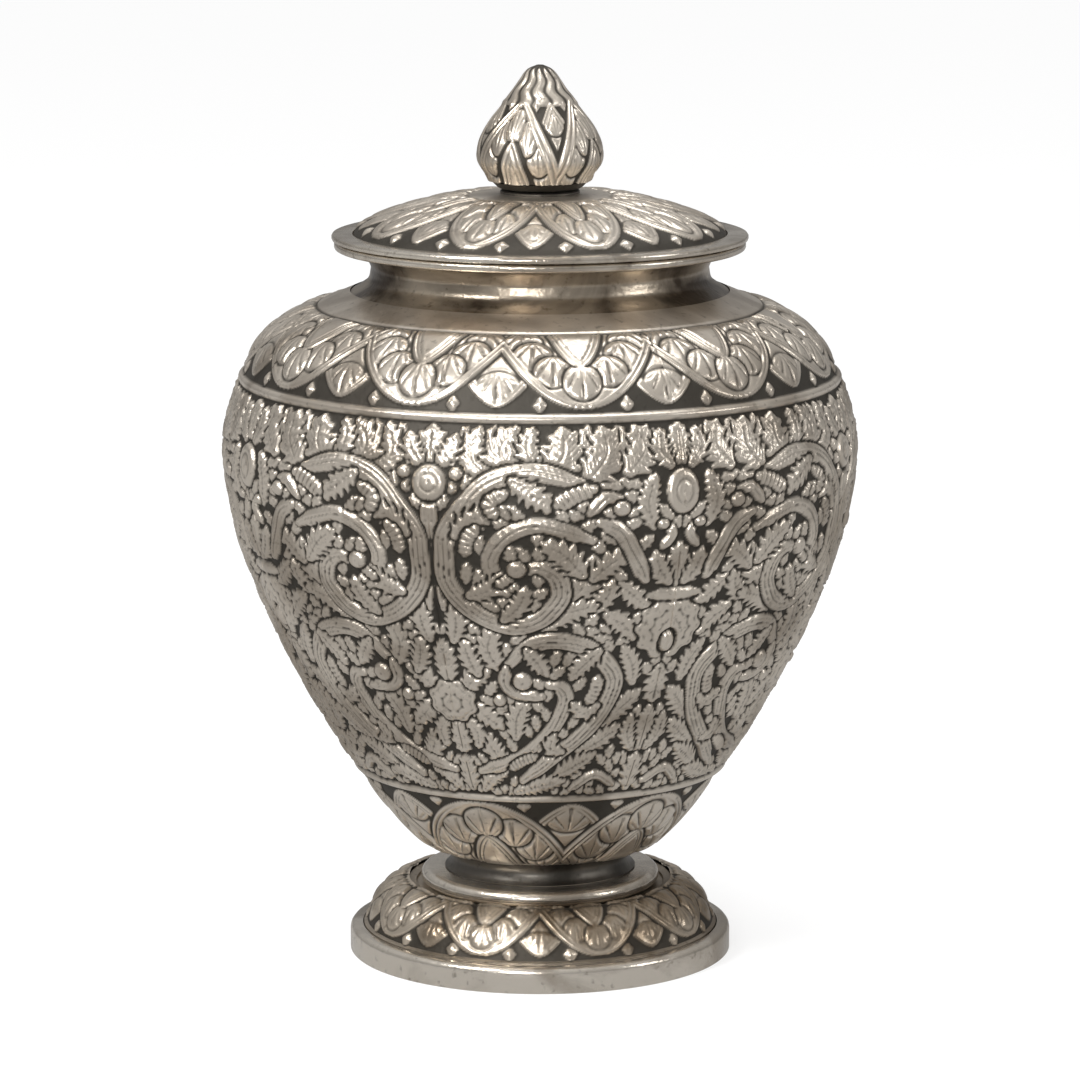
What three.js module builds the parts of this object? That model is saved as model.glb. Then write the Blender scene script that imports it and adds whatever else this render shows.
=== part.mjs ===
import * as THREE from 'three';
import { mergeVertices } from 'three/addons/utils/BufferGeometryUtils.js';

// Lidded silver vase on a spreading foot, with a lotus-bud knob.
// Millimetres, +Z up, the front faces -Y. Pieces are stacked from the ground up.

// Sheet and seams
const WALL = 1.4; // hammered sheet of vessel, neck, foot and lid
const SEAM = 0.3; // room between pieces that are soldered or seated
const RELIEF = 0.6; // height of the chased petals over their ground

// Foot
const FOOT_RADIUS = 50.2;
const FOOT_RIM_HEIGHT = 6.8;
const FOOT_RIM_DEPTH = 3.3; // thickness of the strip round the foot
const FOOT_RIM_ROUND = 1.4; // rounded upper edge of the strip
const FOOT_SKIRT_LIFT = 0.6; // the skirt inside the strip stops above the ground
const FOOT_DOME_HEIGHT = 17.9;
const FOOT_DOME_TOP_RADIUS = 34.5;
const FOOT_SEAT_DEPTH = 1.2; // step down from the dome to the seat of the ring
const FOOT_PETALS = 9;

// Ring and stem
const RING_RADIUS = 31.4;
const RING_HEIGHT = 4.2;
const RING_BORE = 24.4;
const STEM_RADIUS = 25.1; // at its two ends
const STEM_WAIST = 23.5;
const STEM_HEIGHT = 6.1;

// Vessel
const BASE_RADIUS = 25.2;
const BELLY_RADIUS = 81.75;
const BELLY_HEIGHT = 107.5; // from the base up to the widest place
const SHOULDER_HEIGHT = 38.6; // from the widest place up to the neck seat
const NECK_SEAT_RADIUS = 49.0;
const BAND_WIDTH = 2.8; // plain raised bands, measured along the wall
const BAND_RAISE = 0.6;
const LOWER_BAND = 33; // middle of the band, along the wall from the base
const UPPER_BAND = 144;
const SHOULDER_PETALS = 11;
const LOWER_PETALS = 6;

// Neck and mouth
const NECK_RADIUS = 43.95;
const NECK_HEIGHT = 12.9;
const MOUTH_RADIUS = 53.3;
const MOUTH_RIM_WIDTH = 2.2;
const MOUTH_RIM_HEIGHT = 2.0;

// Lid
const LID_RADIUS = 53.96;
const LID_RIM_WIDTH = 5.4;
const LID_RIM_HEIGHT = 1.6;
const LID_RISE = 9.9; // from the rim's upper face to the top of the dome
const LID_PETALS = 9;
const BEZEL_DEPTH = 9.4; // how far the sleeve reaches into the neck
const BEZEL_WALL = 1.2;
const BEZEL_PLAY = 0.45; // room round the sleeve in the neck

// Knob
const COLLAR_RADIUS = 10.3;
const COLLAR_HEIGHT = 1.1;
const CUP_RADIUS = 12.6;
const CUP_HEIGHT = 2.0;
const BUD_RADIUS = 15.7;
const BUD_HEIGHT = 29.5;
const BUD_PETALS = 4;

const v2 = (r, z) => new THREE.Vector2(r, z);
const deg = THREE.MathUtils.degToRad;
const { smoothstep, lerp } = THREE.MathUtils;

// A curve through stations, cut into rows at even steps or at chosen lengths along it
function flow(stations, rows) {
  return new THREE.SplineCurve(stations).getSpacedPoints(rows);
}

function rowsAt(stations, lengths) {
  const curve = new THREE.SplineCurve(stations);
  curve.arcLengthDivisions = 400;
  const total = curve.getLength();
  return lengths.map((s) => {
    const point = curve.getPointAt(Math.min(1, s / total));
    point.s = s;
    return point;
  });
}

// The sheet's other side: each row moved to the left of the way the outline runs
function inside(points, wall) {
  return points.map((p, i) => {
    const a = points[Math.max(0, i - 1)];
    const b = points[Math.min(points.length - 1, i + 1)];
    const along = v2(b.x - a.x, b.y - a.y).normalize();
    return v2(p.x - along.y * wall, p.y + along.x * wall);
  });
}

// Turn an outline about the axis. Rows that carry s are lifted along their normal by the relief.
function turned(outline, segments, relief) {
  const lathe = new THREE.LatheGeometry(outline, segments);
  const at = lathe.attributes.position;
  if (relief) {
    for (let i = 0; i <= segments; i++) {
      const angle = (2 * Math.PI * i) / segments;
      for (let j = 0; j < outline.length; j++) {
        if (outline[j].s === undefined) continue;
        const a = outline[Math.max(0, j - 1)];
        const b = outline[Math.min(outline.length - 1, j + 1)];
        const along = v2(b.x - a.x, b.y - a.y).normalize();
        const lift = relief(angle, outline[j].s);
        const r = outline[j].x + along.y * lift;
        const k = i * outline.length + j;
        at.setXYZ(k, r * Math.sin(angle), outline[j].y - along.x * lift, r * Math.cos(angle));
      }
    }
  }
  lathe.deleteAttribute('uv');
  lathe.deleteAttribute('normal');
  const solid = mergeVertices(lathe, 1e-4);
  const kept = [];
  const index = solid.index;
  for (let i = 0; i < index.count; i += 3) {
    const [a, b, c] = [index.getX(i), index.getX(i + 1), index.getX(i + 2)];
    if (a !== b && b !== c && c !== a) kept.push(a, b, c);
  }
  solid.setIndex(kept);
  solid.rotateX(Math.PI / 2);
  solid.computeVertexNormals();
  return solid;
}

// One row of pointed petals: 1 inside a petal, 0 on the ground. v runs from root to tip.
function petals(angle, count, phase, v, spread) {
  if (v > 1.02) return 0;
  const turn = (angle - deg(phase)) / ((2 * Math.PI) / count);
  const across = Math.abs(turn - Math.round(turn)) * 2;
  const edge = spread * Math.pow(Math.max(0, 1 - Math.max(0, v)), 0.6);
  return smoothstep(edge - across, -0.14, 0.1);
}

const silver = (color, roughness) =>
  new THREE.MeshStandardMaterial({ color, roughness, metalness: 1 });
const chased = silver(0xb4ada0, 0.38);
const plain = silver(0xcdc7bb, 0.26);
const dark = silver(0x6b6459, 0.5);

const group = new THREE.Group();
group.name = 'lidded_vase';
function add(name, geometry, material) {
  const mesh = new THREE.Mesh(geometry, material);
  mesh.name = name;
  group.add(mesh);
}

// Foot strip standing on the ground
const rimInner = FOOT_RADIUS - FOOT_RIM_DEPTH;
add('foot_rim', turned([
  v2(rimInner, 0),
  v2(FOOT_RADIUS, 0),
  v2(FOOT_RADIUS, FOOT_RIM_HEIGHT - FOOT_RIM_ROUND),
  v2(FOOT_RADIUS - 0.3 * FOOT_RIM_ROUND, FOOT_RIM_HEIGHT - 0.3 * FOOT_RIM_ROUND),
  v2(FOOT_RADIUS - FOOT_RIM_ROUND, FOOT_RIM_HEIGHT),
  v2(rimInner, FOOT_RIM_HEIGHT),
  v2(rimInner, 0),
], 54), plain);

// Foot dome with its skirt inside the strip and a seat for the ring
const skirt = rimInner - SEAM;
const domeTop = FOOT_SKIRT_LIFT + FOOT_DOME_HEIGHT;
const domeFoot = FOOT_RIM_HEIGHT + 0.7;
const domeRise = domeTop - domeFoot;
const domeRun = skirt - 0.9 - FOOT_DOME_TOP_RADIUS;
const seatZ = domeTop - FOOT_SEAT_DEPTH;
const seatOuter = RING_RADIUS + SEAM + 0.8;
const domeCurve = [[0, 0], [0.14, 0.33], [0.28, 0.56], [0.5, 0.8], [0.8, 0.96], [1, 1]].map(
  ([x, z]) => v2(skirt - 0.9 - domeRun * x, domeFoot + domeRise * z));
const domeRows = rowsAt(domeCurve, [0.2, 1.6, 3.4, 5.6, 8.2, 11, 14, 17.2]);
const domeOutline = [v2(skirt, FOOT_SKIRT_LIFT), v2(skirt, domeFoot - 0.5), ...domeRows];
const domeSeat = [v2(seatOuter, seatZ), v2(STEM_WAIST, seatZ)];
const domeInside = inside([
  v2(skirt, FOOT_SKIRT_LIFT), v2(skirt, domeFoot - 0.5),
  ...[1, 3, 5, 7].map((i) => v2(domeRows[i].x, domeRows[i].y)), ...domeSeat,
], WALL);
domeInside[0].y = FOOT_SKIRT_LIFT;
domeInside[domeInside.length - 1].x = STEM_WAIST;
add('foot_dome', turned(
  [...domeOutline, ...domeSeat, ...domeInside.reverse(), v2(skirt, FOOT_SKIRT_LIFT)], 72,
  (angle, s) => RELIEF * petals(angle, FOOT_PETALS, 20, 1 - s / 18, 1.05)), chased);

// Polished half-round ring
const ringZ = seatZ + SEAM;
const ringTop = ringZ + RING_HEIGHT;
const ringCurve = Array.from({ length: 7 }, (_, i) => {
  const t = -Math.PI / 2 + (Math.PI * i) / 6;
  const half = RING_HEIGHT / 2;
  return v2(RING_RADIUS - half + half * Math.cos(t), ringZ + half + half * Math.sin(t));
});
add('foot_ring', turned([v2(RING_BORE, ringZ), ...ringCurve, v2(RING_BORE, ringTop),
  v2(RING_BORE, ringZ)], 40), plain);

// Short waisted stem
const stemZ = ringTop + SEAM;
const stemTop = stemZ + STEM_HEIGHT;
const stemRows = flow([
  v2(STEM_RADIUS, stemZ), v2(lerp(STEM_WAIST, STEM_RADIUS, 0.35), stemZ + STEM_HEIGHT * 0.2),
  v2(STEM_WAIST, stemZ + STEM_HEIGHT * 0.55), v2(STEM_RADIUS, stemTop),
], 5);
const stemInside = stemRows.map((p) => v2(p.x - WALL, p.y));
add('foot_stem', turned([...stemRows, ...stemInside.reverse(), stemRows[0].clone()], 36), dark);

// Vessel: closed base, full belly, shoulder up to the neck seat
const baseZ = stemTop + SEAM;
const bellyZ = baseZ + BELLY_HEIGHT;
const seatTop = bellyZ + SHOULDER_HEIGHT;
const below = [[0, 0], [0.01, 0.08], [0.042, 0.158], [0.126, 0.294], [0.293, 0.51], [0.516, 0.742],
  [0.74, 0.917], [0.926, 0.993], [1, 1]].map(([h, w]) =>
  v2(lerp(BASE_RADIUS, BELLY_RADIUS, w), baseZ + BELLY_HEIGHT * h));
const above = [[0.181, 0.035], [0.337, 0.089], [0.57, 0.202], [0.738, 0.353], [0.868, 0.594],
  [0.907, 0.736], [1, 1]].map(([h, w]) =>
  v2(lerp(BELLY_RADIUS, NECK_SEAT_RADIUS, w), bellyZ + SHOULDER_HEIGHT * h));
const wallCurve = [...below, ...above];
const wallLength = new THREE.SplineCurve(wallCurve).getLength();
const band = (middle) => [-0.5, -0.32, 0.32, 0.5].map((t) => middle + t * BAND_WIDTH * 1.4);
const bodyRows = rowsAt(wallCurve, [
  0, 5, 13, 22, ...band(LOWER_BAND), 48, 63, 78, 93, 108, 121, 133, ...band(UPPER_BAND),
  150, 155, 160, 165, 169.5, wallLength,
]);
const bodyInside = inside([0, 3, 9, 12, 15, 19, 22, 24].map((i) => bodyRows[i]), WALL);
bodyInside[0] = v2(bodyInside[0].x, baseZ + WALL);
bodyInside[bodyInside.length - 1] = v2(NECK_SEAT_RADIUS - WALL, seatTop);
const onBand = (s, middle) => (Math.abs(s - middle) < BAND_WIDTH * 0.5 ? BAND_RAISE : 0);
add('vessel_body', turned(
  [v2(0, baseZ), ...bodyRows, ...bodyInside.reverse(), v2(0, baseZ + WALL)], 66,
  (angle, s) => onBand(s, LOWER_BAND) + onBand(s, UPPER_BAND)
    + (s > UPPER_BAND + BAND_WIDTH && s < 169
      ? RELIEF * petals(angle, SHOULDER_PETALS, 8.2, (169 - s) / 23, 1.0) : 0)
    + (s > 2 && s < LOWER_BAND - BAND_WIDTH
      ? RELIEF * petals(angle, LOWER_PETALS, 40, s / 31, 0.9) : 0)), chased);

// Neck collar flaring to the mouth
const neckZ = seatTop + SEAM;
const neckTop = neckZ + NECK_HEIGHT;
const neckEnd = MOUTH_RADIUS - MOUTH_RIM_WIDTH - SEAM;
const neckRows = flow([
  v2(NECK_SEAT_RADIUS, neckZ), v2(NECK_RADIUS + 0.95, neckZ + NECK_HEIGHT * 0.21),
  v2(NECK_RADIUS, neckZ + NECK_HEIGHT * 0.42), v2(NECK_RADIUS + 0.15, neckZ + NECK_HEIGHT * 0.56),
  v2(lerp(NECK_RADIUS, neckEnd, 0.34), neckZ + NECK_HEIGHT * 0.8), v2(neckEnd, neckTop - WALL),
], 8);
const neckInside = inside(neckRows, WALL);
neckInside[0] = v2(NECK_SEAT_RADIUS - WALL, neckZ);
neckInside[neckInside.length - 1] = v2(neckEnd, neckTop);
add('neck_collar', turned([...neckRows, ...neckInside.reverse(), neckRows[0].clone()], 44), plain);

// Applied lip round the mouth
const mouthIn = neckEnd + SEAM;
const mouthZ = neckTop + 0.1 - MOUTH_RIM_HEIGHT;
const mouthTop = mouthZ + MOUTH_RIM_HEIGHT;
add('mouth_rim', turned([
  v2(mouthIn, mouthZ), v2(MOUTH_RADIUS - 0.6, mouthZ), v2(MOUTH_RADIUS, mouthZ + 0.6),
  v2(MOUTH_RADIUS, mouthTop - 0.6), v2(MOUTH_RADIUS - 0.6, mouthTop), v2(mouthIn, mouthTop),
  v2(mouthIn, mouthZ),
], 44), plain);

// Lid rim resting on the lip
const lidZ = mouthTop + SEAM;
const lidRimTop = lidZ + LID_RIM_HEIGHT;
const lidIn = LID_RADIUS - LID_RIM_WIDTH;
add('lid_rim', turned([
  v2(lidIn, lidZ), v2(LID_RADIUS - 0.5, lidZ), v2(LID_RADIUS, lidZ + 0.5),
  v2(LID_RADIUS, lidRimTop - 0.5), v2(LID_RADIUS - 0.5, lidRimTop), v2(lidIn, lidRimTop + 0.1),
  v2(lidIn, lidZ),
], 54), plain);

// Low dome of the lid
const lidTop = lidRimTop + LID_RISE;
const domeEdge = lidIn - SEAM;
const lidCurve = [[1, 0], [0.965, 0.17], [0.91, 0.31], [0.85, 0.42], [0.745, 0.6], [0.64, 0.75],
  [0.52, 0.885], [0.4, 0.945], [0.25, 0.985], [0, 1]].map(
  ([x, z]) => v2(domeEdge * x, lidRimTop + LID_RISE * z));
const lidLength = new THREE.SplineCurve(lidCurve).getLength();
const lidRows = rowsAt(lidCurve, [0, 0.04, 0.09, 0.15, 0.22, 0.3, 0.4, 0.52, 0.64, 0.78, 1].map(
  (share) => share * lidLength));
const lidInside = inside([0, 2, 4, 6, 8].map((i) => lidRows[i]), WALL);
lidInside[0] = v2(domeEdge - WALL * 1.5, lidZ + SEAM);
const lidFloor = lidTop - WALL;
add('lid_dome', turned(
  [v2(domeEdge, lidZ + SEAM), ...lidRows.slice(0, -1), v2(0, lidTop), v2(0, lidFloor),
    ...lidInside.reverse(), v2(domeEdge, lidZ + SEAM)],
  72, (angle, s) => {
    const reach = s / lidLength;
    return reach > 0.02 && reach < 0.6
      ? RELIEF * petals(angle, LID_PETALS, 18, 1 - reach / 0.6, 1.0) : 0;
  }), chased);

// Sleeve under the lid that drops into the neck
const bezelOuter = NECK_RADIUS - WALL - BEZEL_PLAY;
const bezelTop = lidRimTop + LID_RISE * 0.1;
add('lid_bezel', turned([
  v2(bezelOuter - BEZEL_WALL, lidZ - BEZEL_DEPTH), v2(bezelOuter, lidZ - BEZEL_DEPTH),
  v2(bezelOuter, bezelTop), v2(bezelOuter - BEZEL_WALL, bezelTop),
  v2(bezelOuter - BEZEL_WALL, lidZ - BEZEL_DEPTH),
], 40), plain);

// Knob: disc, tapered cup and lotus bud
const collarZ = lidTop + SEAM;
const collarTop = collarZ + COLLAR_HEIGHT;
add('finial_collar', turned([
  v2(0, collarZ), v2(COLLAR_RADIUS, collarZ), v2(COLLAR_RADIUS, collarTop), v2(0, collarTop),
], 32), dark);

const cupZ = collarTop + SEAM;
const cupTop = cupZ + CUP_HEIGHT;
add('finial_cup', turned([
  v2(0, cupZ), v2(COLLAR_RADIUS - 0.4, cupZ), v2(lerp(COLLAR_RADIUS, CUP_RADIUS, 0.4), cupZ + 0.5),
  v2(CUP_RADIUS, cupTop), v2(0, cupTop),
], 32), dark);

const budZ = cupTop + SEAM;
const budCurve = [[0, 0.82], [0.05, 0.865], [0.16, 0.985], [0.25, 1.0], [0.34, 0.965],
  [0.43, 0.885], [0.52, 0.78], [0.6, 0.665], [0.7, 0.535], [0.785, 0.41], [0.87, 0.3],
  [0.955, 0.19], [1, 0.06]].map(([h, w]) => v2(BUD_RADIUS * w, budZ + BUD_HEIGHT * h));
const budLength = new THREE.SplineCurve(budCurve).getLength();
const budRows = rowsAt(budCurve, [0, 0.04, 0.1, 0.16, 0.23, 0.3, 0.37, 0.44, 0.51, 0.58, 0.65,
  0.72, 0.8, 0.9, 1].map((share) => share * budLength));
add('finial_bud', turned(
  [v2(0, budZ), ...budRows, v2(0, budZ + BUD_HEIGHT)], 48, (angle, s) => {
    const rise = s / budLength;
    const large = petals(angle, BUD_PETALS, -28, rise / 0.66, 1.0);
    const small = petals(angle, BUD_PETALS, 17, rise / 0.8, 0.8);
    const folds = rise > 0.68 && rise < 0.95 ? 0.4 * RELIEF * Math.cos(8 * angle) : 0;
    return rise > 0.03 ? Math.max(large, 0.5 * small) * RELIEF + folds : 0;
  }), chased);

export default group;
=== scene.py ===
import bpy, math
import numpy as np
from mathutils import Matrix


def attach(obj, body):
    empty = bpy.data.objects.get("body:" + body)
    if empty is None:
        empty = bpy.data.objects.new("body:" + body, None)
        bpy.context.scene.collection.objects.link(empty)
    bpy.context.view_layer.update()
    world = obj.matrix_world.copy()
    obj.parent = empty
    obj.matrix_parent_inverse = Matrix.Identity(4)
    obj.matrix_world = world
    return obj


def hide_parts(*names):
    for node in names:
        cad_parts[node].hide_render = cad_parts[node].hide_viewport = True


# A lidded silver vase with chased scrolls and lotus borders. Outlines are (radius, height)
# in millimetres; the finished meshes are in metres, in the frame's own place.
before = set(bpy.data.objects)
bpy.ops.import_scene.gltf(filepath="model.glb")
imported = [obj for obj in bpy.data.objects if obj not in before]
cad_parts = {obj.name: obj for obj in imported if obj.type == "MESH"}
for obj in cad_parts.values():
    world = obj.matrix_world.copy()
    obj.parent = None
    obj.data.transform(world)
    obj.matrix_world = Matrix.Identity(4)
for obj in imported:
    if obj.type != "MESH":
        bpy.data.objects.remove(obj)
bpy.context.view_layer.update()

# The camera stands a little above the lid and looks down along +Y, as in the photograph.
LOOKING_DOWN = 0.180
camera = bpy.data.objects.new("camera", bpy.data.cameras.new("camera"))
camera.location = (0, -1.2872, 0.3432)
camera.rotation_euler = (math.pi / 2 - LOOKING_DOWN, 0, 0)
camera.data.lens, camera.data.sensor_width = 166.67, 36
camera.data.clip_end = 50
bpy.context.scene.collection.objects.link(camera)
bpy.context.scene.camera = camera
bpy.context.scene.view_settings.view_transform = "Standard"

# Foot strip: the plain band that the vase stands on, bent from polished silver strip and
# soldered round the lower edge of the foot. All the silver here shares one surface: cloudy
# tarnish, small dark specks, black sulphide where a piece's oxide mark is 1, faint dents.
OXIDE_BLACK = (0.034, 0.031, 0.026)
OXIDE_ROUGHNESS = 0.62
SPECK_SHADE = 0.55
CLOUD_SCALE, SPECK_SCALE, DENT_SCALE = 34, 520, 650


def silver_surface():
    group = bpy.data.node_groups.new("silver_surface", "ShaderNodeTree")
    for name, kind in (("Place", "Vector"), ("Oxide", "Float"), ("Bright", "Color"), ("Tarnish", "Color"),
                       ("Specks", "Color"), ("Stain", "Float"), ("Polish", "Float")):
        group.interface.new_socket(name=name, in_out="INPUT", socket_type="NodeSocket" + kind)
    for name, kind in (("Color", "Color"), ("Roughness", "Float"), ("Normal", "Vector")):
        group.interface.new_socket(name=name, in_out="OUTPUT", socket_type="NodeSocket" + kind)
    nodes, links = group.nodes, group.links
    given = nodes.new("NodeGroupInput").outputs
    result = nodes.new("NodeGroupOutput").inputs

    def fill(socket, value):
        if isinstance(value, bpy.types.NodeSocket):
            links.new(value, socket)
        else:
            socket.default_value = value

    def noise(scale, detail, distortion=0.0):
        node = nodes.new("ShaderNodeTexNoise")
        for key, value in (("Scale", scale), ("Detail", detail), ("Distortion", distortion),
                           ("Vector", given["Place"])):
            fill(node.inputs[key], value)
        return node.outputs["Fac"]

    def ramp(value, low, high, bottom, top):
        node = nodes.new("ShaderNodeMapRange")
        for key, number in (("Value", value), ("From Min", low), ("From Max", high),
                            ("To Min", bottom), ("To Max", top)):
            fill(node.inputs[key], number)
        return node.outputs["Result"]

    def mixed(factor, a, b):
        node = nodes.new("ShaderNodeMix")
        node.data_type = "RGBA"
        for key, value in (("Factor", factor), ("A", a), ("B", b)):
            fill(node.inputs[key], value)
        return node.outputs["Result"]

    cloud = ramp(noise(CLOUD_SCALE, 6, 0.8), 0.44, 0.62, 0.0, given["Stain"])
    speck = ramp(noise(SPECK_SCALE, 4), 0.60, 0.74, 0.0, 0.55)
    metal = mixed(speck, mixed(cloud, given["Bright"], given["Tarnish"]), given["Specks"])
    fill(result["Color"], mixed(given["Oxide"], metal, (*OXIDE_BLACK, 1)))
    fill(result["Roughness"], ramp(given["Oxide"], 0, 1, given["Polish"], OXIDE_ROUGHNESS))
    bump = nodes.new("ShaderNodeBump")
    for key, value in (("Distance", 0.0003), ("Strength", 0.35), ("Height", noise(DENT_SCALE, 3))):
        fill(bump.inputs[key], value)
    fill(result["Normal"], bump.outputs["Normal"])
    return group


surface_group = silver_surface()


def silver(name, bright, tarnish, rough, stain):
    material = bpy.data.materials.new(name)
    material.use_nodes = True
    nodes, links = material.node_tree.nodes, material.node_tree.links
    shader = nodes["Principled BSDF"]
    shader.inputs["Metallic"].default_value = 0.92
    surface = nodes.new("ShaderNodeGroup")
    surface.node_tree = surface_group
    surface.inputs["Bright"].default_value = (*bright, 1)
    surface.inputs["Tarnish"].default_value = (*tarnish, 1)
    surface.inputs["Specks"].default_value = (*(SPECK_SHADE * c for c in tarnish), 1)
    surface.inputs["Stain"].default_value = stain
    surface.inputs["Polish"].default_value = rough
    coords = nodes.new("ShaderNodeTexCoord")
    links.new(coords.outputs["Object"], surface.inputs["Place"])
    oxide = nodes.new("ShaderNodeAttribute")
    oxide.attribute_name = "oxide"
    links.new(oxide.outputs["Fac"], surface.inputs["Oxide"])
    links.new(surface.outputs["Color"], shader.inputs["Base Color"])
    links.new(surface.outputs["Roughness"], shader.inputs["Roughness"])
    links.new(surface.outputs["Normal"], shader.inputs["Normal"])
    return material


def linked(name, mesh, material):
    piece = bpy.data.objects.new(name, mesh)
    mesh.materials.append(material)
    bpy.context.scene.collection.objects.link(piece)
    return piece


MILLIMETRE = 0.001


def grid_mesh(name, x, y, z, closed, oxide):
    rows, cols = x.shape
    mesh = bpy.data.meshes.new(name)
    mesh.vertices.add(rows * cols)
    mesh.vertices.foreach_set("co", np.stack([x, y, z], -1).ravel() * MILLIMETRE)
    i = np.arange(cols if closed else cols - 1)
    j = np.arange(rows - 1)
    ii, jj = np.meshgrid(i, j)
    nxt = (ii + 1) % cols
    corners = [jj * cols + ii, jj * cols + nxt, (jj + 1) * cols + nxt, (jj + 1) * cols + ii]
    quads = np.stack(corners, -1)
    count = quads.size // 4
    mesh.loops.add(count * 4)
    mesh.loops.foreach_set("vertex_index", quads.ravel().astype(np.int32))
    mesh.polygons.add(count)
    mesh.polygons.foreach_set("loop_start", np.arange(count, dtype=np.int32) * 4)
    uv = mesh.uv_layers.new(name="OFBake")
    u = np.stack([ii, ii + 1, ii + 1, ii], -1) / max(1, len(i))
    v = np.stack([jj, jj, jj + 1, jj + 1], -1) / max(1, len(j))
    uv.data.foreach_set("uv", np.stack([u, v], -1).ravel().astype(np.float32))
    mark = mesh.attributes.new("oxide", "FLOAT", "POINT")
    mark.data.foreach_set("value", oxide.ravel().astype(np.float32))
    mesh.update(calc_edges=True)
    mesh.validate()
    return mesh


# A turned piece is an outline swept round the axis, sharp only at its real corners. worn
# is its oxide mark, the same all over.
TURN_STEP = 1.5
CORNER = math.radians(38)


def turned(name, outline, material, body, node, worn=0.0):
    p = np.array(outline, float)
    th = np.radians(np.arange(0, 360, TURN_STEP))[None, :]
    r, z = p[:, :1], p[:, 1:]
    marks = np.full((len(p), th.size), worn)
    mesh = grid_mesh(name, r * np.sin(th), -r * np.cos(th), z + 0 * th, True, marks)
    mesh.shade_smooth()
    mesh.set_sharp_from_angle(angle=CORNER)
    piece = linked(name, mesh, material)
    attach(piece, body)
    if node:
        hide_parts(node)
    return piece


plain = silver("plain_silver", (0.80, 0.735, 0.64), (0.36, 0.30, 0.235), 0.22, 0.8)
strip_face = [(50.2, z) for z in (0.2, 1, 2.5, 4, 5.2)]
turned("foot_strip", [(46.9, 0), (50.0, 0)] + strip_face
       + [(50.05, 5.9), (49.6, 6.5), (48.9, 6.8), (46.9, 6.8), (46.9, 0)],
       plain, "vase", "foot_rim")

# Foot dome: sheet silver raised to a low spreading dome and chased from outside with a
# border of lotus petals. It is hollow underneath, and stands in the strip.
FOOT_PETALS = 9
RING_STEP = 0.5
FOOT_ROW = 0.35


def flow(points, count):
    p = np.array(points, float)
    last = len(p) - 1
    t = np.linspace(0, last, count)
    i = np.minimum(t.astype(int), last - 1)
    u = (t - i)[:, None]
    a, b, c, d = p[np.maximum(i - 1, 0)], p[i], p[i + 1], p[np.minimum(i + 2, last)]
    m, n = (c - a) / 2, (d - b) / 2
    return (2 * b - 2 * c + m + n) * u**3 + (3 * c - 3 * b - 2 * m - n) * u**2 + m * u + b


def smooth(x, low, high):
    t = np.clip((x - low) / (high - low), 0, 1)
    return t * t * (3 - 2 * t)


# Rows along an outline, a step apart: length along it, radius, height, and its normal.
def outline_rows(stations, step):
    line = flow(stations, 1600)
    s = np.concatenate([[0], np.cumsum(np.hypot(*np.diff(line, axis=0).T))])
    rows = np.linspace(0, s[-1], int(s[-1] / step) + 1)
    r, z = np.interp(rows, s, line[:, 0]), np.interp(rows, s, line[:, 1])
    dr, dz = np.gradient(r), np.gradient(z)
    n = np.hypot(dr, dz)
    return rows, r, z, dz / n, -dr / n


def soften(h, times):
    for _ in range(times):
        h = (np.roll(h, 1, 1) + 2 * h + np.roll(h, -1, 1)) / 4
        p = np.pad(h, ((1, 1), (0, 0)), mode="edge")
        h = (p[:-2] + 2 * p[1:-1] + p[2:]) / 4
    return h


# A chased sheet: rows along an outline and columns round the axis, lifted along the normal.
# Oxide gathers on the ground, and wherever the surface lies below what surrounds it.
GROUND = 0.25
MOST_OXIDE, GROUND_OXIDE = 0.95, 0.93


def sheet(name, rows, angles, lift, material, gain):
    _, r, z, nr, nz = rows
    lift = soften(lift, 1)
    closed = angles[-1] - angles[0] > 350
    oxide = np.clip((soften(lift, 10) - lift) * gain, 0, MOST_OXIDE)
    oxide = np.maximum(oxide, GROUND_OXIDE * (1 - smooth(lift, GROUND * 0.6, GROUND * 1.5)))
    th = np.radians(angles)[None, :]
    rr = r[:, None] + nr[:, None] * lift
    zz = z[:, None] + nz[:, None] * lift
    mesh = grid_mesh(name, rr * np.sin(th), -rr * np.cos(th), zz, closed, oxide)
    mesh.shade_smooth()
    return linked(name, mesh, material)


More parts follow.
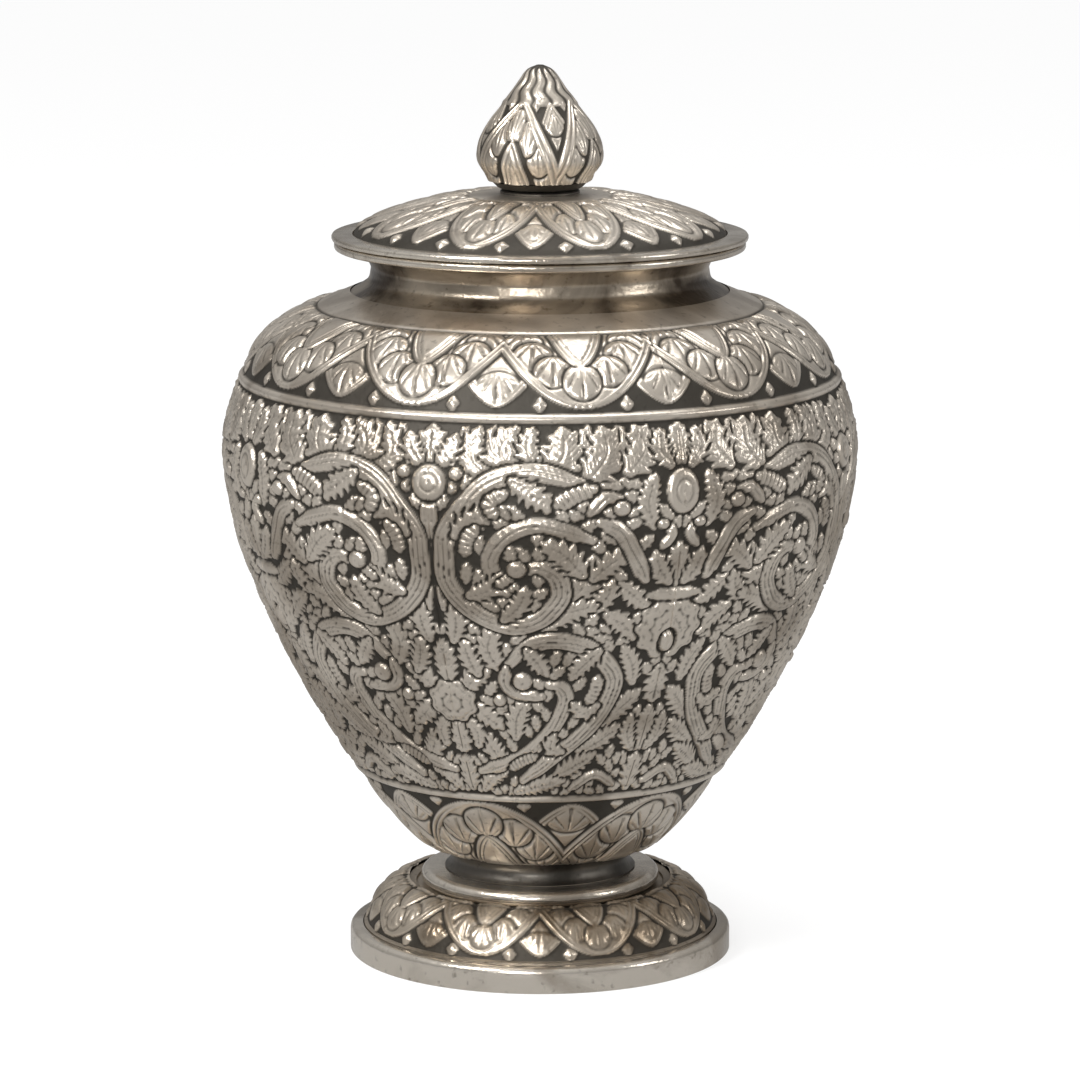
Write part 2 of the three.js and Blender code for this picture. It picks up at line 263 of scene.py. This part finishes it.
# One row of lotus petals, for every border. v runs from root to tip, angle round the axis;
# wide and tall are the size of one repeat in millimetres, for petals of one real size.
def lotus(angle, v, count, phase, wide, tall):
    turn = (angle - phase) * count / 360
    u = turn - np.round(turn)
    a = np.abs(u)
    h = np.zeros(np.broadcast(u, v).shape)

    # millimetres inside a petal's edge; centre and half are shares of the repeat
    def arch(centre, half, tip, power):
        edge = half * np.clip(1 - v / tip, 0, 1) ** power
        return (edge - np.abs(a - centre)) * wide * 0.72 * np.where(v < tip, 1, 0) - np.where(v < tip, 0, 9)

    # two raised lines round a petal, then its floor
    def ribbed(d, h, rib, height, floor):
        inside = smooth(d, -0.15, 0.25)
        bars = height * (0.55 + 0.45 * np.cos(2 * np.pi * np.clip(d / rib, 0, 2) - np.pi)) + 0.25
        level = np.where(d < 2 * rib, bars, floor)
        h = h * (1 - smooth(d, -0.9, -0.5)) + 0.02 * smooth(d, -0.9, -0.5)
        return h * (1 - inside) + level * inside

    # a rounded, veined leaflet with a groove round it
    def lobe(h, cu, cv, ru, rv, height, veins):
        q = np.hypot((a - cu) / ru, (v - cv) / rv)
        bump = height * np.sqrt(np.clip(1 - q * q, 0, 1)) + 0.45
        bump -= 0.4 * (np.cos(veins * np.arctan2(a - cu, v - cv + rv)) > 0.8) * (q < 0.9)
        inside = smooth(1.0 - q, -0.02, 0.10)
        h = h * (1 - smooth(1.18 - q, 0, 0.12)) + 0.12 * smooth(1.18 - q, 0, 0.12)
        return h * (1 - inside) + bump * inside

    # diamonds on the ground, then small petals, then large ones over them
    gem = np.abs(a - 0.25) * wide / 1.7 + np.abs(v - 0.955) * tall / 2.3
    h = np.where(gem < 1, 0.35 + 0.7 * (1 - gem), h)
    small, large, heart = arch(0.5, 0.42, 0.985, 0.60), arch(0.0, 0.60, 1.0, 0.50), arch(0.0, 0.20, 0.54, 0.55)
    h = ribbed(small, h, 0.95, 0.55, 0.5)
    h = np.where(small > 1.9, lobe(h, 0.5, 0.76, 0.13, 0.17, 0.5, 18), h)
    h = ribbed(large, h, 1.1, 0.7, 0.5)
    leaf = lobe(h, 0.37, 0.16, 0.14, 0.24, 0.45, 18)
    leaf = lobe(leaf, 0.30, 0.36, 0.13, 0.22, 0.5, 18)
    leaf = lobe(leaf, 0.17, 0.57, 0.12, 0.20, 0.55, 18)
    leaf = lobe(leaf, 0.0, 0.70, 0.115, 0.21, 0.65, 22)
    h = np.where(large > 2.2, leaf, h)
    return ribbed(heart, h, 0.95, 0.65, 0.95)


border = silver("border_silver", (0.68, 0.59, 0.48), (0.27, 0.205, 0.14), 0.33, 0.9)
foot_rows = outline_rows([(45.7, 7.5), (44.13, 11.1), (42.56, 13.7), (40.1, 16.3), (36.7, 18.1), (34.5, 18.5)],
                         FOOT_ROW)
ring_angles = np.arange(0, 360, RING_STEP)
grid_a, grid_s = np.meshgrid(ring_angles, foot_rows[0])
foot_lift = lotus(grid_a, 1.02 - (grid_s - 0.4) / 17.2, FOOT_PETALS, 20.0, 29.0, 17.0)
foot_lift -= 0.6 * np.exp(-((grid_s - foot_rows[0][-1] + 1.0) / 0.35) ** 2)
foot = sheet("foot_petals", foot_rows, ring_angles, np.clip(foot_lift * 0.95, 0, 2), border, gain=3.0)
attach(foot, "vase")
turned("foot_underside", [(34.5, 18.5), (32.7, 17.9), (32.5, 17.3), (23.5, 17.3), (23.5, 15.9), (31.5, 15.9),
                          (35.5, 16.8), (39, 15), (41.4, 12.8), (43.4, 9.6), (45.2, 7), (45.2, 0.6),
                          (46.6, 0.6), (46.6, 7.1), (45.7, 7.5)],
       border, "vase", "foot_dome", worn=0.35)

# Foot ring: a polished half-round moulding of silver wire, soldered on top of the foot.
MOULDING_ROUND = 2.1
half_turn = np.linspace(-1.57, 1.57, 19)
ring = [(29.3 + MOULDING_ROUND * math.cos(t), 19.7 + MOULDING_ROUND * math.sin(t)) for t in half_turn]
turned("foot_moulding", [(24.4, 17.6)] + ring + [(24.4, 21.8), (24.4, 17.6)],
       plain, "vase", "foot_ring")

# Stem: the short waist between foot and vessel, a turned tube gone nearly black with
# tarnish, soldered at both ends.
dark = silver("dark_silver", (0.17, 0.155, 0.135), (0.06, 0.054, 0.046), 0.36, 0.9)
stem = [tuple(p) for p in flow([(25.1, 22.1), (24.06, 23.3), (23.5, 25.5), (25.1, 28.2)], 14)]
turned("stem_skin", stem + [(23.7, 28.2), (22.2, 25.4), (23.7, 22.1), (25.1, 22.1)],
       dark, "vase", "foot_stem", worn=0.2)

# Vessel: one sheet of silver raised to shape, then chased all round with a band of
# scrolling leaves between two borders of lotus petals. The band is drawn once, between two
# mirror axes, and its eight sectors meet on those axes; a lining is the smooth inside.
SECTORS, SECTOR = 8, 45
AXIS_A, AXIS_B = -19.5, 24.5
STRETCH = SECTOR / (AXIS_B - AXIS_A)
PER_DEGREE = 1.25
COLUMNS, BODY_ROW = 190, 0.36
BAND_BOTTOM, BAND_TOP = 34.5, 141.8
PLAIN_LEVEL = 0.55
SHOULDER_PETALS, LOWER_PETALS = 11, 6
LINING_IN = 1.4

chased = silver("chased_silver", (0.76, 0.685, 0.59), (0.36, 0.30, 0.235), 0.32, 0.7)
body_stations = [(25.2, 28.5), (29.7, 29.6), (34.1, 33), (41.8, 42.05), (54, 60), (67.2, 84), (77.1, 108),
                 (81.35, 128), (81.75, 136), (80.6, 143), (78.8, 149), (75.1, 158), (70.2, 164.5),
                 (62.3, 169.5), (57.65, 171), (49, 174.6)]
body_rows = outline_rows(body_stations, BODY_ROW)
s_rows = body_rows[0]
zone = (s_rows > BAND_BOTTOM) & (s_rows < BAND_TOP)
phi = np.linspace(0, SECTOR, COLUMNS + 1)
gx, gy = np.meshgrid(phi * PER_DEGREE, s_rows[zone])
band = np.zeros_like(gx)


# The chart of one sector: x is degrees from its first axis times PER_DEGREE, y is
# millimetres along the wall, so both are about the same size on the belly.
def chart(points):
    return [((t - AXIS_A) * STRETCH * PER_DEGREE, s) for t, s in points]


# For each place on the chart: distance to a path, length along it, its whole length, side.
def nearest(points):
    line = flow(chart(points), 6 * len(points) + 4)
    best = np.full(gx.shape, 1e9)
    along = np.zeros(gx.shape)
    side = np.zeros(gx.shape)
    run = np.concatenate([[0], np.cumsum(np.hypot(*np.diff(line, axis=0).T))])
    for k in range(len(line) - 1):
        (ax, ay), (bx, by) = line[k], line[k + 1]
        dx, dy = bx - ax, by - ay
        size = dx * dx + dy * dy + 1e-9
        t = np.clip(((gx - ax) * dx + (gy - ay) * dy) / size, 0, 1)
        d = np.hypot(gx - ax - t * dx, gy - ay - t * dy)
        hit = d < best
        best = np.where(hit, d, best)
        along = np.where(hit, run[k] + t * (run[k + 1] - run[k]), along)
        side = np.where(hit, np.sign(dx * (gy - ay) - dy * (gx - ax)), side)
    return best, along, run[-1], side


# A later stroke lies over the earlier ones, with a punched groove round it.
def over(band, inside, gap, shape):
    band = band * (1 - gap)
    return band * (1 - inside) + shape * inside


def stroke(band, points, width, kind):
    d, along, total, side = nearest(points)
    t = along / total
    if kind == "leaf":
        w = width * (0.35 + 0.75 * np.sin(np.pi * np.clip(t * 0.86 + 0.1, 0, 1)) ** 0.8)
        lobes = (along / (0.62 * width + 0.5)) % 1
        w = w * (0.66 + 0.54 * lobes ** 1.3) * np.where(t > 0.97, 0.6, 1)
    else:
        w = width * (0.55 + 0.45 * smooth(t, 0, 0.12)) * (0.6 + 0.4 * smooth(1 - t, 0, 0.1))
    q = d / w
    dome = np.sqrt(np.clip(1 - q * q * 0.85, 0, 1))
    if kind == "leaf":
        veins = ((along - 1.1 * d) * 0.76) % 1 > 0.66
        shape = 0.62 + 0.55 * dome - 0.6 * veins * (q > 0.15)
        shape -= 0.6 * np.exp(-(d / 0.26) ** 2) * (t < 0.85)
    elif kind == "stem":
        lines = np.cos(2 * np.pi * (d * side / 1.25 + 0.15 * np.sin(along * 0.5)))
        shape = 0.72 + 0.5 * dome - 0.6 * (lines > 0.5) * (q < 0.86)
    else:
        shape = 0.6 + 0.4 * dome - 0.55 * (np.cos(along * 4.6) > 0.3)
    return over(band, smooth(w - d, -0.12, 0.2), smooth(w + 0.75 - d, 0, 0.3), shape)


# A boss or blossom: rings round a centre, and petals where it is a flower.
def blob(band, t, s, a, b, rings, height, petals=0):
    (cx, cy), = chart([(t, s)])
    q = np.hypot((gx - cx) / a, (gy - cy) / b)
    turn = np.arctan2(gx - cx, gy - cy)
    if petals:
        q = q * (1 + 0.07 * np.cos(petals * turn))
    dome = np.sqrt(np.clip(1 - q * q * 0.9, 0, 1))
    shape = 0.5 + height * dome - 0.3 * (np.cos(2 * np.pi * rings * q) > 0.55)
    if petals:
        shape -= 0.18 * (np.cos(petals * turn + 3.1) > 0.8) * (q > 0.3)
    inside, gap = smooth((1 - q) * a, -0.12, 0.2), smooth((1.0 - q) * a + 0.75, 0, 0.3)
    return over(band, inside, gap, shape)


# Each stroke is its path, in degrees from the front and millimetres up the wall, and its
# half width. Leaves lie lowest, then scrolling stems, the leaves inside them, and combs.
# A and B stand for the two mirror axes.
A, B = AXIS_A, AXIS_B
LEAVES = [
    ([(-15, 132), (-14.6, 136), (-13, 141)], 2.1), ([(-8.6, 134), (-9, 138), (-8, 141.4)], 1.8),
    ([(7, 134), (7.4, 138), (8, 141.4)], 1.8), ([(13.8, 132), (14, 137), (13.2, 141.3)], 2.1),
    ([(19.8, 132), (19.4, 137), (18.6, 141.3)], 1.9),
    ([(-9.5, 128.5), (-12.4, 134), (-11, 140.8)], 3.0), ([(-5, 130), (-7.2, 135.5), (-4.6, 141)], 3.7),
    ([(-0.5, 130), (-2.6, 136), (-1.6, 141.3)], 2.3), ([(0.5, 128.5), (3.6, 134.5), (3.4, 141)], 4.3),
    ([(8, 128.5), (11, 134.5), (10.4, 141)], 4.3), ([(15, 130), (17.8, 135.5), (16.4, 141)], 3.9),
    ([(14, 101), (16.5, 98), (19.5, 94)], 2.4), ([(12, 92.5), (15, 90), (17.5, 85.5)], 2.5),
    ([(9.5, 94), (11.5, 98), (12.5, 102)], 2.4), ([(4.5, 96), (7.5, 102), (9, 108.5)], 3.2),
    ([(0, 89.5), (5, 94), (10, 95.5)], 3.0), ([(9, 103), (12, 107), (15.5, 109.5)], 2.7),
    ([(-6, 55), (-5.5, 62), (-3, 67.5)], 3.0), ([(-9, 46), (-12, 51), (-13, 56)], 2.9),
    ([(13.5, 59), (17, 64), (21, 69)], 3.1), ([(9, 49.5), (13, 53), (18, 58)], 3.0),
    ([(4, 42), (8, 45), (13, 49)], 2.9), ([(19, 72), (18, 78), (16, 83)], 2.4),
    ([(A, 73), (A, 79), (A, 84.5)], 3.0), ([(-16, 70), (-14, 73.5), (-11, 76)], 2.8),
    ([(-15, 65), (-12.5, 62), (-9, 58)], 2.9), ([(A, 60), (A, 54), (A, 49)], 3.2),
    ([(-17, 60), (-15, 56), (-15.5, 51)], 2.3), ([(A, 37), (A, 42), (A, 48)], 3.3),
    ([(-17, 85), (-16, 92), (-17, 98)], 2.6), ([(-8.5, 77), (-10.5, 83), (-9, 89)], 3.0),
    ([(-13, 75), (-14.5, 80), (-15, 85)], 2.5), ([(-16, 36.5), (-13, 41), (-9, 43)], 2.7),
    ([(-7, 36), (0, 38.5), (6, 40)], 2.8), ([(B, 131), (B, 136), (B, 141)], 3.4),
    ([(22.5, 131), (20.8, 135), (21, 140)], 2.2), ([(19.5, 116), (18, 122), (19.5, 129)], 2.3),
    ([(B, 101), (B, 106), (B, 111)], 2.9), ([(23, 101), (21, 104.5), (20, 109)], 2.4),
    ([(B, 76), (B, 71), (B, 65)], 3.1), ([(B, 49), (B, 56), (B, 63.5)], 3.3),
    ([(22.5, 50), (20.5, 55), (20.5, 61)], 2.4), ([(B, 36.5), (B, 42), (B, 48)], 3.5),
    ([(A, 131.5), (A, 136), (A, 141)], 3.6), ([(-18, 131.5), (-16, 135), (-15.2, 139)], 2.2),
]
STEMS = [
    ([(8, 37), (14, 41.5), (20, 38)], 1.6), ([(18.5, 102), (14, 114), (10, 117.5)], 1.9),
    ([(8, 120), (11, 124), (14, 121.5)], 1.5), ([(21.2, 110.5), (22.8, 114), (21, 117)], 1.2),
    ([(-18.2, 94), (-18.2, 106), (-18.8, 118), (-19, 123)], 1.15),
    ([(8.5, 113), (0, 117), (-6, 114.5), (-9, 109), (-8.5, 104), (-5, 100.5)], 1.9),
    ([(8.7, 126), (0, 130), (-8, 128.5), (-13, 122), (-16.5, 115), (-17.3, 108), (-17, 102),
      (-14.5, 96), (-10, 91.5), (-5, 89.5), (0, 92), (3, 97), (3.2, 101), (2, 104.5), (-1, 106),
      (-4, 104.5)], 2.3),
    ([(-16, 43), (-5, 48), (2, 57), (5, 66), (4, 71), (1.5, 72)], 2.1),
    ([(-7.3, 77), (-3, 83), (2, 85.5), (9, 83), (14, 76), (15, 70), (12, 60), (8, 54), (0, 45),
      (-5, 40)], 2.3),
    ([(-7.3, 77), (-7.5, 72), (-5, 69), (0, 68.3)], 1.7),
]
INNER_LEAVES = [
    ([(-15, 114), (-12, 118), (-8, 121)], 2.7), ([(-13, 98), (-9.5, 100), (-7, 104)], 2.5),
    ([(-5, 128), (-2, 125), (2, 121)], 2.7), ([(-7, 91.5), (-4, 96), (-3, 100.5)], 2.4),
    ([(7, 104), (4, 109), (0, 112.5)], 3.0), ([(-3, 82.5), (-1, 79), (1, 75)], 2.3),
    ([(11, 82), (8, 78), (6, 74)], 2.6), ([(12, 65), (9, 63), (6.5, 66)], 2.3),
    ([(5, 50), (2, 51.5), (3, 56)], 2.3),
]
COMBS = [
    ([(2.5, 122), (5.5, 124.5), (8.5, 126)], 1.9), ([(-8, 119), (-9, 122.5), (-6.5, 125)], 1.6),
    ([(-13.5, 109), (-13, 113), (-11.5, 116)], 1.6), ([(10, 66), (11.2, 70), (11.5, 74)], 1.7),
    ([(-8, 44), (-5, 46.5), (-1.5, 48.5)], 1.7), ([(-8, 101), (-6, 103), (-5, 105)], 1.3),
]
for strokes, kind in ((LEAVES, "leaf"), (STEMS, "stem"), (INNER_LEAVES, "leaf"), (COMBS, "comb")):
    for points, width in strokes:
        band = stroke(band, points, width, kind)
BOSSES = [(-4.5, 105.5, 2.3), (-4, 73, 2.6), (13.5, 121, 1.9), (-14.8, 129.5, 1.6), (-9, 67, 1.8),
          (21, 116.5, 1.4), (-15.5, 126, 1.4)]
for t, s, size in BOSSES:
    band = blob(band, t, s, size, size, 0.9, 0.95)
band = blob(band, A, 127, 4.0, 4.6, 2.2, 0.9)
band = blob(band, A, 66, 6.6, 6.4, 2.4, 1.0, petals=8)
band = blob(band, B, 124.5, 3.9, 5.8, 2.0, 1.0)
band = blob(band, B, 88, 8.2, 8.8, 3.4, 1.1, petals=10)
band = blob(band, B, 84, 2.0, 3.2, 1.0, 1.2)
band = blob(band, B, 97.5, 7.0, 1.9, 1.2, 0.6, petals=14)

# Small leaves fill the ground that the scrolls leave open. Their places, leans and lengths
# are drawn at random from a fixed seed; one that would crowd a scroll is left out.
FILLER_STEP, FILLER_WIDTH, FILLER_ROOM = 2.6, 1.45, 1.35
TAKEN = 0.2
dice = np.random.default_rng(11)
for cy in np.arange(36, 141, FILLER_STEP):
    for cx in np.arange(0.4, 56.2, FILLER_STEP):
        px, py = cx + dice.uniform(-0.7, 0.7), cy + dice.uniform(-0.7, 0.7)
        lean, size = dice.uniform(-1.3, 1.3), dice.uniform(1.7, 2.6)
        close = np.hypot(gx - px, gy - py) < FILLER_ROOM
        if (band[close] > TAKEN).mean() > 0.16:
            continue
        middle = AXIS_A + px / PER_DEGREE / STRETCH
        reach = (size * math.sin(lean) / PER_DEGREE / STRETCH, size * math.cos(lean))
        path = [(middle - reach[0], py - reach[1]), (middle, py), (middle + reach[0], py + reach[1])]
        crowd = soften((band > TAKEN).astype(float), 3)
        leaf = stroke(np.zeros_like(band), path, FILLER_WIDTH, "leaf")
        band = np.where(band > TAKEN, band, leaf * 0.92 * (1 - smooth(crowd, 0.06, 0.3)))

GROOVES = (3.6, 31.6, 34.2, 142.0, 144.8, 171.0)
RAISED_LINES = (32.9, 143.4)
for k in range(SECTORS):
    angles = AXIS_A + SECTOR * k + phi
    grid_a, grid_s = np.meshgrid(angles, s_rows)
    lift = np.full(grid_a.shape, PLAIN_LEVEL)
    lift[zone] = band[:, ::-1] if k % 2 else band
    top = (s_rows >= 145) & (s_rows <= 170.5)
    lift[top] = lotus(grid_a[top], (170.0 - grid_s[top]) / 24.2, SHOULDER_PETALS, 8.2, 41.0, 24.0)
    low = (s_rows >= 4) & (s_rows <= 31.5)
    lift[low] = lotus(grid_a[low], (grid_s[low] - 3.5) / 27.8, LOWER_PETALS, 40.0, 40.0, 27.5)
    for s in GROOVES:
        lift -= 0.55 * np.exp(-((grid_s - s) / 0.45) ** 2)
    for s in RAISED_LINES:
        lift += 0.5 * np.exp(-((grid_s - s) / 1.0) ** 4)
    wall = sheet(f"vessel_wall_{k}", body_rows, angles, np.clip(lift, 0, 2), chased, gain=4.4)
    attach(wall, "vase")
line = flow(body_stations, 60)
tangent = np.gradient(line, axis=0)
tangent /= np.hypot(tangent[:, 0], tangent[:, 1])[:, None]
inside_line = line - LINING_IN * np.stack([tangent[:, 1], -tangent[:, 0]], 1)
inside_line = [(r, z) for r, z in inside_line if z > 30.4 and r > 24][:-1] + [(47.6, 174.6)]
turned("vessel_lining", [(49.3, 174.4), (49.0, 174.7)] + inside_line[::-1] + [(23.0, 29.9), (0.01, 29.9)],
       border, "vase", "vessel_body", worn=0.15)
turned("vessel_base", [(0.01, 28.5), (25.2, 28.5), (25.7, 28.7)],
       border, "vase", None, worn=0.4)

# Neck and mouth: a plain flaring collar of sheet silver, its dark brown clouds a painted
# reflection, soldered on the vessel's top edge, and the polished lip soldered round its mouth.
# The neck's near-black brown clouds (stain 1.0) are painted dark reflections of the room on polished silver,
# not tarnish.
neck_painted_reflection = silver("neck_silver", (0.62, 0.53, 0.42), (0.085, 0.062, 0.042), 0.25, 1.0)
neck_outside = [tuple(p) for p in flow([(49, 174.9), (44.9, 177.6), (43.95, 180.3), (44.1, 182.1),
                                        (46.3, 185.2), (50.8, 186.4)], 26)]
neck_inside = [(50.8, 187.8), (48.5, 187.5), (45.6, 186.4), (43.4, 184.4), (42.6, 182.2), (42.6, 180),
               (43.6, 177.6), (47.6, 174.9), (49, 174.9)]
turned("neck_skin", neck_outside + neck_inside, neck_painted_reflection, "vase", "neck_collar", worn=0.1)
turned("mouth_lip", [(51.1, 185.9), (52.7, 185.9), (53.1, 186.1), (53.3, 186.5), (53.3, 187.3),
                     (53.1, 187.7), (52.7, 187.9), (51.1, 187.9), (51.1, 185.9)],
       plain, "vase", "mouth_rim")

# Lid: a low raised dome chased with petals that point outwards, its edge soldered in a
# polished flange. A sleeve under it seats in the neck, and the whole lid lifts off.
LID_PETALS = 9
LID_ROW = 0.42
turned("lid_flange", [(48.56, 188.2), (53.4, 188.2), (53.8, 188.4), (53.96, 188.8), (53.96, 189.3),
                      (53.7, 189.7), (53.2, 189.85), (48.56, 189.9), (48.56, 188.2)],
       plain, "lid", "lid_rim")
lid_stations = [(48.26, 189.8), (46.6, 191.5), (43.9, 192.9), (41.0, 194.0), (36.0, 195.75), (30.9, 197.2),
                (25.1, 198.6), (19.3, 199.2), (12.1, 199.6), (8.0, 199.7)]
lid_rows = outline_rows(lid_stations, LID_ROW)
grid_a, grid_s = np.meshgrid(ring_angles, lid_rows[0])
lid_lift = lotus(grid_a, 1.03 - (grid_s - 0.4) / 31.0, LID_PETALS, 18.0, 27.0, 31.0)
lid_lift = np.where(grid_s > 31.5, 0.6, lid_lift) - 0.6 * np.exp(-((grid_s - 31.4) / 0.4) ** 2)
lid = sheet("lid_petals", lid_rows, ring_angles, np.clip(lid_lift * 0.95, 0, 2), chased, gain=2.8)
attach(lid, "lid")
turned("lid_lining", [(8.0, 200.0), (0.01, 200.0), (0.01, 198.3), (12, 198.2), (25, 197.2), (36, 194.4),
                      (43, 191.9), (45.9, 190.2), (46.2, 188.5), (48.26, 188.5), (48.26, 189.8)],
       border, "lid", "lid_dome", worn=0.2)
turned("lid_sleeve", [(40.9, 178.8), (42.1, 178.8), (42.1, 190.7), (40.9, 190.7), (40.9, 178.8)],
       plain, "lid", "lid_bezel")

# Knob: a blackened disc and cup, and on them a hollow lotus bud of four broad ribbed
# petals, raised and chased, all soldered to the lid.
BUD_PETALS = 4
BUD_ROW, BUD_STEP = 0.25, 0.9
turned("knob_disc", [(0.01, 200.0), (9.9, 200.0), (10.3, 200.3), (10.3, 200.8), (9.9, 201.1), (0.01, 201.1)],
       dark, "lid", "finial_collar", worn=0.3)
turned("knob_cup", [(0.01, 201.4), (9.9, 201.4), (10.6, 201.6), (11.3, 202.1), (12.0, 202.8),
                    (12.6, 203.3), (12.4, 203.4), (0.01, 203.4)],
       dark, "lid", "finial_cup", worn=0.3)
bud_stations = [(12.87, 203.7), (13.58, 205.2), (15.46, 208.4), (15.7, 211.1), (15.15, 213.7), (13.9, 216.4),
                (12.25, 219.0), (10.44, 221.4), (8.4, 224.35), (6.44, 226.85), (4.7, 229.4), (3.0, 231.9),
                (0.9, 233.2)]
bud_rows = outline_rows(bud_stations, BUD_ROW)
bud_angles = np.arange(0, 360, BUD_STEP)
grid_a, grid_s = np.meshgrid(bud_angles, bud_rows[0])
bud_lift = lotus(grid_a, (grid_s + 1.5) / 25.0, BUD_PETALS, -28.0, 21.0, 24.0)
folds = 0.5 + 0.28 * np.cos(np.radians(grid_a) * 12 + np.sin(grid_s))
bud_lift = np.where(grid_s > 22.0, np.maximum(bud_lift, folds * smooth(36 - grid_s, 0, 6)), bud_lift)
bud = sheet("knob_bud", bud_rows, bud_angles, np.clip(bud_lift * 0.75, 0, 2), chased, gain=2.8)
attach(bud, "lid")
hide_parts("finial_bud")

# Studio: a pale paper floor that the camera sees near white and the metal sees darker, a
# room that is brighter overhead, and four soft boxes.
PAPER = 0.93
SEEN_SHARE, SEEN_GLOW, MIRRORED_GLOW = 0.58, 1.15, 0.42
ROOM_LIGHT, ROOM_LOW, ROOM_HIGH = 0.78, 0.08, 0.50
floor_mesh = bpy.data.meshes.new("floor")
floor_mesh.from_pydata([(-8, -8, 0), (8, -8, 0), (8, 12, 0), (-8, 12, 0)], [], [(0, 1, 2, 3)])
paper = bpy.data.materials.new("paper")
paper.use_nodes = True
nodes, links = paper.node_tree.nodes, paper.node_tree.links
matt = nodes["Principled BSDF"]
matt.inputs["Base Color"].default_value = (PAPER, PAPER, PAPER, 1)
matt.inputs["Roughness"].default_value = 0.9
ray = nodes.new("ShaderNodeLightPath")
share = nodes.new("ShaderNodeMath")
share.operation = "MULTIPLY"
share.inputs[1].default_value = SEEN_SHARE
links.new(ray.outputs["Is Camera Ray"], share.inputs[0])
glow = nodes.new("ShaderNodeEmission")
glow.inputs["Strength"].default_value = SEEN_GLOW
seen = nodes.new("ShaderNodeMixShader")
links.new(share.outputs[0], seen.inputs[0])
links.new(matt.outputs[0], seen.inputs[1])
links.new(glow.outputs[0], seen.inputs[2])
mirrored = nodes.new("ShaderNodeEmission")
mirrored.inputs["Strength"].default_value = MIRRORED_GLOW
either = nodes.new("ShaderNodeMixShader")
links.new(ray.outputs["Is Glossy Ray"], either.inputs[0])
links.new(seen.outputs[0], either.inputs[1])
links.new(mirrored.outputs[0], either.inputs[2])
links.new(either.outputs[0], nodes["Material Output"].inputs["Surface"])
linked("floor", floor_mesh, paper)

room = bpy.data.worlds.new("room")
bpy.context.scene.world = room
room.use_nodes = True
nodes, links = room.node_tree.nodes, room.node_tree.links
coords = nodes.new("ShaderNodeTexCoord")
split = nodes.new("ShaderNodeSeparateXYZ")
links.new(coords.outputs["Generated"], split.inputs[0])
shade = nodes.new("ShaderNodeMapRange")
for key, number in (("From Min", -0.25), ("From Max", 0.85), ("To Min", ROOM_LOW), ("To Max", ROOM_HIGH)):
    shade.inputs[key].default_value = number
links.new(split.outputs["Z"], shade.inputs["Value"])
ray = nodes.new("ShaderNodeLightPath")
pick = nodes.new("ShaderNodeMix")
links.new(ray.outputs["Is Glossy Ray"], pick.inputs["Factor"])
pick.inputs["A"].default_value = ROOM_LIGHT
links.new(shade.outputs["Result"], pick.inputs["B"])
links.new(pick.outputs["Result"], nodes["Background"].inputs["Strength"])
nodes["Background"].inputs["Color"].default_value = (1, 1, 1, 1)

# Each soft box is its name, place and side in metres, and power in watts. All face AIM.
AIM = np.array([0, 0, 0.11])
SOFT_BOXES = (("key", (-0.9, -0.9, 1.1), 0.45, 15), ("side", (1.3, -0.5, 0.6), 0.4, 2.4),
              ("top", (0.1, 0.1, 1.5), 0.8, 7), ("front", (-0.35, -1.7, 0.55), 0.35, 8))
for name, place, side, power in SOFT_BOXES:
    lamp = bpy.data.lights.new(name, "AREA")
    lamp.size, lamp.energy = side, power
    light = bpy.data.objects.new(name, lamp)
    light.location = place
    aim = AIM - np.array(place)
    light.rotation_euler = (math.acos(-aim[2] / np.linalg.norm(aim)), 0, math.atan2(aim[0], -aim[1]) + math.pi)
    bpy.context.scene.collection.objects.link(light)
